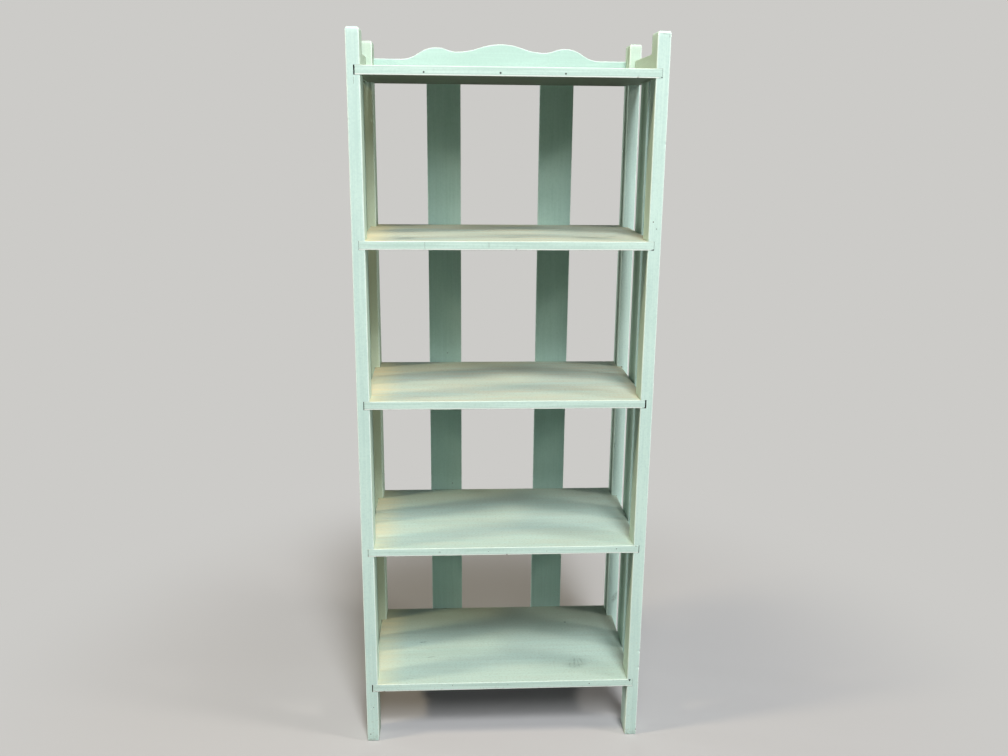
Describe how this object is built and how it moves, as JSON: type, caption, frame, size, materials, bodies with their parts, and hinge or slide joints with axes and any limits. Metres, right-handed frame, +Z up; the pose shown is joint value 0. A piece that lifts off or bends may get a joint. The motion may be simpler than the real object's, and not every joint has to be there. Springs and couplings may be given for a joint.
{
  "type": "bookshelf",
  "caption": "Tall open painted bookcase: flat posts with housed shelves, a slatted back, a slat on each side, and a scalloped crest rail with low side rails above the top shelf.",
  "frame": {"origin": "on the floor at the middle of the whole outline", "axes": "+X to the right as seen from the front, +Y towards the wall behind, +Z up"},
  "size_m": [0.65, 0.373, 1.616],
  "materials": {
    "painted_frame": "old matt paint, pale sea green",
    "painted_shelf": "old matt paint, pale sea green, dusty and yellowed on top",
    "nail_steel": "steel nail, head painted over"
  },
  "bodies": {
    "root": {"post_front_left": "painted_frame", "post_front_right": "painted_frame", "post_back_left": "painted_frame", "post_back_right": "painted_frame", "back_slat_left": "painted_frame", "back_slat_right": "painted_frame", "side_slat_left": "painted_frame", "side_slat_right": "painted_frame", "crest_rail": "painted_frame", "side_rail_left": "painted_frame", "side_rail_right": "painted_frame", "shelf_1": "painted_shelf", "shelf_2": "painted_shelf", "shelf_3": "painted_shelf", "shelf_4": "painted_shelf", "top_shelf": "painted_shelf", "post_nails": "nail_steel", "back_slat_nails": "nail_steel", "side_slat_nails": "nail_steel", "side_rail_nails": "nail_steel", "crest_rail_nails": "nail_steel"}
  },
  "joints": []
}
